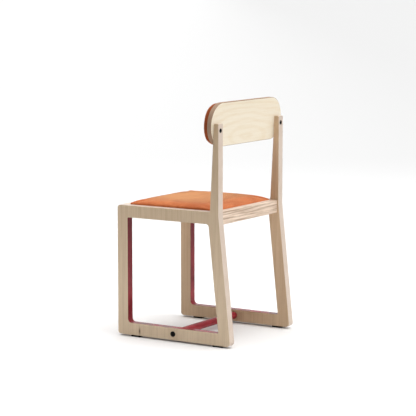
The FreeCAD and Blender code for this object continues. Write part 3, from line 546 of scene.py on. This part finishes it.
def corner_folds(point, half_x, half_y, depth):
    """Small creases that fan out from each corner, where the cloth is drawn in."""
    away_x = half_x - abs(point.x)
    away_y = half_y - abs(point.y)
    reach = math.hypot(away_x, away_y)
    fade = math.exp(-((reach - FOLD_MIDDLE) / FOLD_SPREAD) ** 2)
    return depth * fade * math.sin(FOLDS_IN_CORNER * 4 * math.atan2(away_y, away_x))


def lip_shift(point, form):
    """Outward shift of a cushion's top near its front and sides, where it bulges over the frame.

    The lip of the sides ends before the posts.
    """
    from_front = point.y + form["half_y"]
    from_side = form["half_x"] - abs(point.x)
    front = max(1 - from_front / LIP_REACH, 0)
    before_post = min(max((form["lip_end"] - point.y) / LIP_REACH, 0), 1)
    side = max(1 - from_side / LIP_REACH, 0) * before_post
    share = form["lip"] * (1 - LIP_CORNER_EASE * front * side)
    return Vector((math.copysign(share * side, point.x), -share * front, 0))


def top_point(form, s, t, inner):
    """Point of a cushion's crowned top, which has a soft shoulder along its rim."""
    half_x, half_y, radius = form["half_x"], form["half_y"], form["radius"]
    point = plan_point(half_x, half_y, radius, s, t)
    inset = max(inset_of(point, half_x, half_y, radius), 0)
    roll = min(inset / form["shoulder_width"], 1)
    level_x = 1 - abs(point.x / half_x) ** form["flatness"]
    level_y = 1 - abs(point.y / half_y) ** form["flatness"]
    height = form["shoulder"] * math.sqrt(1 - (1 - roll) ** 2) + form["crown"] * level_x * level_y
    height += roll * corner_folds(point, half_x, half_y, form["folds"])
    shift = lip_shift(point, form) if inner else Vector((0, 0, 0))
    return Vector((point.x, point.y, height)) + shift


def cover_mesh(name, form, walls, pocket):
    """Closed cushion: a crowned top, rings down and under, and a pocket for its board.

    walls holds, for each ring below the rim, how far it lies inside the outline and its height;
    pocket holds the rings of the pocket, with sharp edges, the last one at the pocket's top.
    """
    half_x, half_y = form["half_x"], form["half_y"]
    across = round(2 * half_x / CLOTH_STEP)
    along = round(2 * half_y / CLOTH_STEP)
    work = bmesh.new()
    grid = []
    for row in range(along + 1):
        line = []
        for column in range(across + 1):
            inner = 0 < row < along and 0 < column < across
            line.append(work.verts.new(top_point(form, column / across, row / along, inner)))
        grid.append(line)
    for low, high in zip(grid, grid[1:]):
        for a, b, c, d in zip(low, low[1:], high[1:], high):
            work.faces.new((a, b, c, d))
    right_side = [line[-1] for line in grid[:-1]]
    left_side = [line[0] for line in grid[:0:-1]]
    rim = grid[0][:-1] + right_side + grid[-1][:0:-1] + left_side
    sharp = work.edges.layers.float.new("crease_edge")

    def drawn_in(vertex, inset, height):
        scale_x = (half_x - inset) / half_x
        scale_y = (half_y - inset) / half_y
        return work.verts.new((vertex.co.x * scale_x, vertex.co.y * scale_y, height))

    ring = rim
    for number, (inset, height) in enumerate(walls + pocket):
        following = [drawn_in(vertex, inset, height) for vertex in rim]
        pairs = zip(ring, ring[1:] + ring[:1], following[1:] + following[:1], following)
        for a, b, c, d in pairs:
            work.faces.new((d, c, b, a))
            if number >= len(walls):
                work.edges.get((c, d))[sharp] = 1.0
        ring = following
    edge = dict(zip(rim, ring))
    roof = []
    for line in grid:
        roof.append([edge[vertex] if vertex in edge else drawn_in(vertex, *pocket[-1]) for vertex in line])
    for low, high in zip(roof, roof[1:]):
        for a, b, c, d in zip(low, low[1:], high[1:], high):
            work.faces.new((d, c, b, a))
    mesh = bpy.data.meshes.new(name)
    work.to_mesh(mesh)
    work.free()
    mesh.polygons.foreach_set("use_smooth", [True] * len(mesh.polygons))
    piece = bpy.data.objects.new(name, mesh)
    scene.collection.objects.link(piece)
    return piece


def pocket_rings(base, height):
    """Rings of a board's pocket: the cloth's return under the board, then up past the board's edge."""
    return [
        (COVER_RETURN, base),
        (COVER_RETURN, base + COVER_THICKNESS),
        (COVER_THICKNESS, base + COVER_THICKNESS),
        (COVER_THICKNESS, base + height),
    ]


def swell(piece, cap):
    """Cloth simulation: pressure fills the cover above its rim, and no point moves further than the cap."""
    held = [vertex.index for vertex in piece.data.vertices if vertex.co.z < RIM_LEVEL]
    group = piece.vertex_groups.new(name="held")
    group.add(held, 1.0, "REPLACE")
    modifier = piece.modifiers.new("swell", "CLOTH")
    settings = modifier.settings
    settings.vertex_group_mass = group.name
    settings.use_pressure = True
    settings.uniform_pressure_force = FILL_PRESSURE
    settings.effector_weights.gravity = 0
    for step in range(1, FILL_STEPS + 1):
        scene.frame_set(step)
    seen = piece.evaluated_get(bpy.context.evaluated_depsgraph_get())
    moved = [vertex.co.copy() for vertex in seen.data.vertices]
    piece.modifiers.remove(modifier)
    piece.vertex_groups.clear()
    for vertex, target in zip(piece.data.vertices, moved):
        shift = target - vertex.co
        length = shift.length
        if length > 0:
            vertex.co += shift * (cap * math.tanh(length / cap) / length)
    scene.frame_set(1)


def subdivide(piece):
    """Smooth the piece with one level of subdivision."""
    modifier = piece.modifiers.new("smooth", "SUBSURF")
    modifier.levels = 1
    modifier.render_levels = 1


# Seat cushion, in the space that the rails and frames leave
SEAT_POCKET = 11.6 * MM
SEAT_SWELL = 5.5 * MM
SEAT_LIP = 9 * MM
SEAT_UNDER_ROUND = 3 * MM
SEAT_UNDER_TURN = 0.9 * MM
# The paler middle of the seat is a painted sheen
SEAT_PAINTED_SHEEN = ((0.0, -0.055, 0.45), (0.17, 0.155, 1.0))
seat_low, seat_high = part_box("seat_cover")
rim_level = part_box("rear_seat_rail")[1].z
frame_points = [vertex.co for vertex in nodes["left_side_frame"].data.vertices]
post_front = min(point.y for point in frame_points if point.z > seat_high.z)
seat_middle = (seat_low + seat_high) / 2
seat_half = (seat_high - seat_low) / 2
seat_form = {
    "half_x": seat_half.x,
    "half_y": seat_half.y,
    "radius": 4 * MM,
    "shoulder": 6.8 * MM,
    "shoulder_width": 30 * MM,
    "crown": 6.2 * MM,
    "flatness": 7,
    "folds": 0.9 * MM,
    "lip": SEAT_LIP,
    "lip_end": post_front - LIP_GAP - seat_middle.y,
}
under = seat_low.z - rim_level
seat_walls = [
    (0.0, under / 2),
    (0.0, under + SEAT_UNDER_ROUND),
    (SEAT_UNDER_TURN, under + SEAT_UNDER_TURN),
    (SEAT_UNDER_ROUND, under),
]
cushion = cover_mesh("seat_cushion", seat_form, seat_walls, pocket_rings(under, SEAT_POCKET))
swell(cushion, SEAT_SWELL)
subdivide(cushion)
cushion.data.transform(Matrix.Translation((seat_middle.x, seat_middle.y, rim_level)))
cushion.data.materials.append(cloth("orange_seat_cloth", ORANGE, AXES["X"], AXES["Y"], SEAT_PAINTED_SHEEN))
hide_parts("seat_cover", "seat_foam")
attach(cushion, "root")

# Back pad on the panel's front face, in axes of its own: X across, Y up the panel, Z out of it
PAD_FLAT = 2 * MM
PAD_WALL = 11 * MM
PAD_TUCK = 0.85 * PAD_WALL
PAD_SHOULDER = 7 * MM
PAD_POCKET = 5.6 * MM
PAD_SWELL = 2.5 * MM
to_panel = Matrix((AXES["X"], panel_up, panel_front)).transposed()
panel_points = [to_panel.transposed() @ vertex.co for vertex in nodes["back_panel"].data.vertices]
pad_points = [to_panel.transposed() @ vertex.co for vertex in nodes["back_cover"].data.vertices]
panel_face = max(point.z for point in panel_points)
pad_rises = [point.y for point in pad_points]
pad_middle = (max(pad_rises) + min(pad_rises)) / 2
pad_half_y = (max(pad_rises) - min(pad_rises)) / 2
pad_form = {
    "half_x": max(point.x for point in pad_points),
    "half_y": pad_half_y,
    "radius": pad_half_y - PAD_FLAT / 2,
    "shoulder": PAD_SHOULDER,
    "shoulder_width": 9 * MM,
    "crown": 3 * MM,
    "flatness": 4,
    "folds": 0.0,
    "lip": 0.0,
    "lip_end": 0.0,
}
pad_walls = [
    (0.0, -PAD_WALL / 2),
    (0.3 * MM, -PAD_TUCK),
    (1.2 * MM, -PAD_WALL),
]
back_pad = cover_mesh("back_pad", pad_form, pad_walls, pocket_rings(-PAD_WALL, PAD_POCKET))
swell(back_pad, PAD_SWELL)
subdivide(back_pad)
pad_rim = panel_face + PAD_WALL
pad_place = Matrix.Translation(to_panel @ Vector((0, pad_middle, pad_rim))) @ to_panel.to_4x4()
back_pad.data.transform(pad_place)
# The pad's side is darker as painted shade
pad_painted_side_shade = (panel_front, pad_rim, pad_rim + PAD_SHOULDER)
back_pad.data.materials.append(cloth("orange_pad_cloth", ORANGE, AXES["X"], panel_up, painted_side_shade=pad_painted_side_shade))
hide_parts("back_cover", "back_foam")
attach(back_pad, "root")

# Pale floor, a little less pale past the foreground on the camera's side; far behind the chair it is greyer
# towards the right, a painted shade of the background
FLOOR_REACH = 200.0
FLOOR_CELLS = 8
TO_CAMERA = (0.848, 0.530, 0.0)
TO_RIGHT = (-0.530, 0.848, 0.0)
FORE_RANGE = (1.1, 2.2)
BEHIND_RANGE = (-0.5, -6.0)
SIDE_RANGE = (-1.5, 3.0)
floor_shader = Shader("white_floor", {"Roughness": 0.8, "Specular IOR Level": 0.1})
floor_place = floor_shader.place()
floor_tone = floor_shader.span(floor_shader.noise(floor_place, scale=0.8, detail=3), 0.3, 0.7)
floor_colour = floor_shader.mix(floor_tone, FLOOR_SHADE, FLOOR_WHITE)
toward = floor_shader.along(floor_place, TO_CAMERA)
aside = floor_shader.span(floor_shader.along(floor_place, TO_RIGHT), *SIDE_RANGE)
# Painted shade: the floor far behind the chair greys towards the right
behind_painted_shade = floor_shader.mix(aside, *PAINTED_FLOOR_SHADE_BEHIND)
floor_colour = floor_shader.mix(floor_shader.span(toward, *BEHIND_RANGE), floor_colour, behind_painted_shade)
floor_colour = floor_shader.mix(floor_shader.span(toward, *FORE_RANGE), floor_colour, FLOOR_FORE)
floor_material = floor_shader.finish(Base_Color=floor_colour)
floor_grid = bmesh.new()
bmesh.ops.create_grid(floor_grid, x_segments=FLOOR_CELLS, y_segments=FLOOR_CELLS, size=FLOOR_REACH)
floor_mesh = bpy.data.meshes.new("floor")
floor_grid.to_mesh(floor_mesh)
floor_grid.free()
floor_mesh.materials.append(floor_material)
floor = bpy.data.objects.new("floor", floor_mesh)
scene.collection.objects.link(floor)

# Soft studio light from the rear right
LAMP_FROM = Vector((-0.10, 0.65, 0.75))
LAMP_POWER = 1.0
LAMP_SPREAD = math.radians(50)
lamp_data = bpy.data.lights.new("softbox", "SUN")
lamp_data.energy = LAMP_POWER
lamp_data.angle = LAMP_SPREAD
lamp = bpy.data.objects.new("softbox", lamp_data)
lamp.rotation_euler = LAMP_FROM.to_track_quat("Z", "Y").to_euler()
scene.collection.objects.link(lamp)

# Room: light from the ceiling, the rear and the white sweep behind the chair, dim on the camera's side
ROOM_DIM = 0.02
CEILING_LIGHT = 4.6
CEILING_RANGE = (0.75, 1.0)
SWEEP_LIGHT = 0.9
SWEEP_RANGE = (-0.1, -0.9)
REAR_LIGHT = 0.9
REAR_RANGE = (0.25, 1.0)
WHITE = (1.0, 1.0, 1.0, 1.0)
world = bpy.data.worlds.new("studio")
world.use_nodes = True
scene.world = world
room = Nodes(world.node_tree)
gaze = room.coordinate("Generated")
ceiling = room.span(room.along(gaze, AXES["Z"]), *CEILING_RANGE, 0.0, CEILING_LIGHT)
sweep = room.span(room.along(gaze, TO_CAMERA), *SWEEP_RANGE, 0.0, SWEEP_LIGHT)
rear = room.span(room.along(gaze, AXES["Y"]), *REAR_RANGE, 0.0, REAR_LIGHT)
level = room.calc("ADD", room.calc("ADD", ceiling, sweep), room.calc("ADD", rear, ROOM_DIM))
backdrop = world.node_tree.nodes["Background"]
backdrop.inputs["Color"].default_value = WHITE
room.feed(backdrop.inputs["Strength"], level)

# Camera of the photograph, with its lens and sensor in millimetres and its angles in degrees
CAMERA_SENSOR = 36.0
CAMERA_LENS = 153.42
CAMERA_PLACE = (4.9661, 3.1154, 1.1857)
CAMERA_DIP = 7.455
CAMERA_HEADING = 122.05
camera_data = bpy.data.cameras.new("camera")
camera_data.sensor_width = CAMERA_SENSOR
camera_data.lens = CAMERA_LENS
camera = bpy.data.objects.new("camera", camera_data)
camera.location = CAMERA_PLACE
camera.rotation_euler = (math.radians(90 - CAMERA_DIP), 0.0, math.radians(CAMERA_HEADING))
scene.collection.objects.link(camera)
scene.camera = camera
scene.view_settings.view_transform = "Standard"
